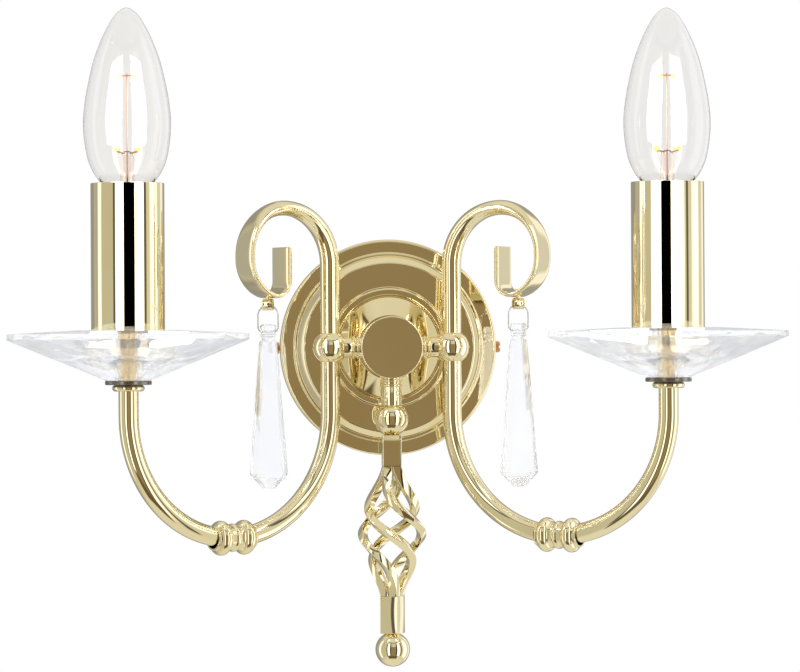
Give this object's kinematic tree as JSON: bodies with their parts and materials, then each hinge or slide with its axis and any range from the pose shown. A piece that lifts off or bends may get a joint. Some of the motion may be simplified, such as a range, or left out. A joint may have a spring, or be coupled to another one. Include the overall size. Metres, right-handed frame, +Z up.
{
  "type": "double arm wall sconce",
  "caption": "Wall sconce with curved tubular arms on a round stepped backplate, scrolls with hanging cut drops, clear drip pans, candle tubes with filament lamps and a twisted basket pendant.",
  "frame": {"origin": "on the wall plane, behind the centre of the round backplate", "axes": "+Z up the wall, +X to the right along the wall, -Y out of the wall into the room"},
  "size_m": [0.3128, 0.1341, 0.2682],
  "materials": {
    "polished_brass": "mirror polished, pale gold",
    "copper_screw": "copper-coloured plated screw",
    "zinc_steel": "zinc plated",
    "washer_steel": "turned steel",
    "cut_crystal": "clear cut crystal",
    "lamp_glass": "clear blown glass",
    "lamp_cap_metal": "pressed brass",
    "filament_glow": "lit filament rods on a glass stem",
    "holder_plastic": "moulded, white",
    "contact_brass": "plain brass",
    "white_plastic": "moulded, natural white",
    "lead_sleeve": "clear-white lead sleeve",
    "ring_wire": "bright wire"
  },
  "bodies": {
    "frame": {"wall_bracket": "zinc_steel", "backplate": "polished_brass", "side_screws": "copper_screw", "terminal_block": "white_plastic", "terminal_screws": "zinc_steel", "earth_screw": "zinc_steel", "hub_body": "polished_brass", "hub_cap": "polished_brass", "hub_nipple": "polished_brass", "hub_locknut": "zinc_steel", "bottom_stub": "polished_brass", "pendant_ball": "polished_brass", "pendant_top_bar": "polished_brass", "pendant_basket": "polished_brass", "pendant_lower_bar": "polished_brass", "finial_ball": "polished_brass", "left_arm_stub": "polished_brass", "right_arm_stub": "polished_brass", "left_root_ball": "polished_brass", "right_root_ball": "polished_brass", "left_scroll": "polished_brass", "right_scroll": "polished_brass", "left_arm_inner_tube": "polished_brass", "right_arm_inner_tube": "polished_brass", "left_arm_knuckle": "polished_brass", "right_arm_knuckle": "polished_brass", "left_arm_outer_tube": "polished_brass", "right_arm_outer_tube": "polished_brass", "left_arm_collar": "polished_brass", "right_arm_collar": "polished_brass", "left_pan_washer": "washer_steel", "right_pan_washer": "washer_steel", "left_drip_pan": "cut_crystal", "right_drip_pan": "cut_crystal", "left_pan_spigot": "polished_brass", "right_pan_spigot": "polished_brass", "left_pan_nut": "zinc_steel", "right_pan_nut": "zinc_steel", "left_lampholder": "holder_plastic", "right_lampholder": "holder_plastic", "left_drop_eyelet": "polished_brass", "right_drop_eyelet": "polished_brass", "left_lamp_lead": "lead_sleeve", "right_lamp_lead": "lead_sleeve"},
    "right_contact": {"right_holder_contact": "contact_brass"},
    "right_lamp": {"right_lamp_glass": "lamp_glass", "right_lamp_cap": "lamp_cap_metal", "right_lamp_filaments": "filament_glow"},
    "right_candle": {"right_candle_tube": "polished_brass"},
    "right_ring": {"right_drop_ring": "ring_wire"},
    "right_drop": {"right_crystal_drop": "cut_crystal"},
    "left_contact": {"left_holder_contact": "contact_brass"},
    "left_lamp": {"left_lamp_glass": "lamp_glass", "left_lamp_cap": "lamp_cap_metal", "left_lamp_filaments": "filament_glow"},
    "left_candle": {"left_candle_tube": "polished_brass"},
    "left_ring": {"left_drop_ring": "ring_wire"},
    "left_drop": {"left_crystal_drop": "cut_crystal"}
  },
  "joints": [
    {"name": "right_contact_rise", "type": "slide", "parent": "frame", "child": "right_contact", "axis": [0, 0, 1], "range_m": [0, 0.00203]},
    {"name": "right_lamp_unscrew", "type": "hinge", "parent": "right_contact", "child": "right_lamp", "pos_m": [0.1082, -0.08592, 0.09], "axis": [0, 0, 1], "range_deg": [0, 260]},
    {"name": "right_candle_lift", "type": "slide", "parent": "frame", "child": "right_candle", "axis": [0, 0, 1], "range_m": [0, 0.004]},
    {"name": "right_ring_swing", "type": "hinge", "parent": "frame", "child": "right_ring", "pos_m": [0.05142, -0.04761, 0.01321], "axis": [-0.2079, 0.9781, 0], "range_deg": [-25, 10]},
    {"name": "right_drop_swing", "type": "hinge", "parent": "right_ring", "child": "right_drop", "pos_m": [0.05142, -0.04761, 0.00661], "axis": [0.9781, 0.2079, 0], "range_deg": [-35, 35]},
    {"name": "left_contact_rise", "type": "slide", "parent": "frame", "child": "left_contact", "axis": [0, 0, 1], "range_m": [0, 0.00203]},
    {"name": "left_lamp_unscrew", "type": "hinge", "parent": "left_contact", "child": "left_lamp", "pos_m": [-0.1082, -0.08592, 0.09], "axis": [0, 0, 1], "range_deg": [0, 260]},
    {"name": "left_candle_lift", "type": "slide", "parent": "frame", "child": "left_candle", "axis": [0, 0, 1], "range_m": [0, 0.004]},
    {"name": "left_ring_swing", "type": "hinge", "parent": "frame", "child": "left_ring", "pos_m": [-0.05142, -0.04761, 0.01321], "axis": [-0.2079, -0.9781, 0], "range_deg": [-25, 10]},
    {"name": "left_drop_swing", "type": "hinge", "parent": "left_ring", "child": "left_drop", "pos_m": [-0.05142, -0.04761, 0.00661], "axis": [0.9781, -0.2079, 0], "range_deg": [-35, 35]}
  ],
  "couplings": [
    {"joint": "right_lamp_unscrew", "follows": "right_contact_rise", "rad_per_m": 2228.1},
    {"joint": "left_lamp_unscrew", "follows": "left_contact_rise", "rad_per_m": 2228.1}
  ]
}
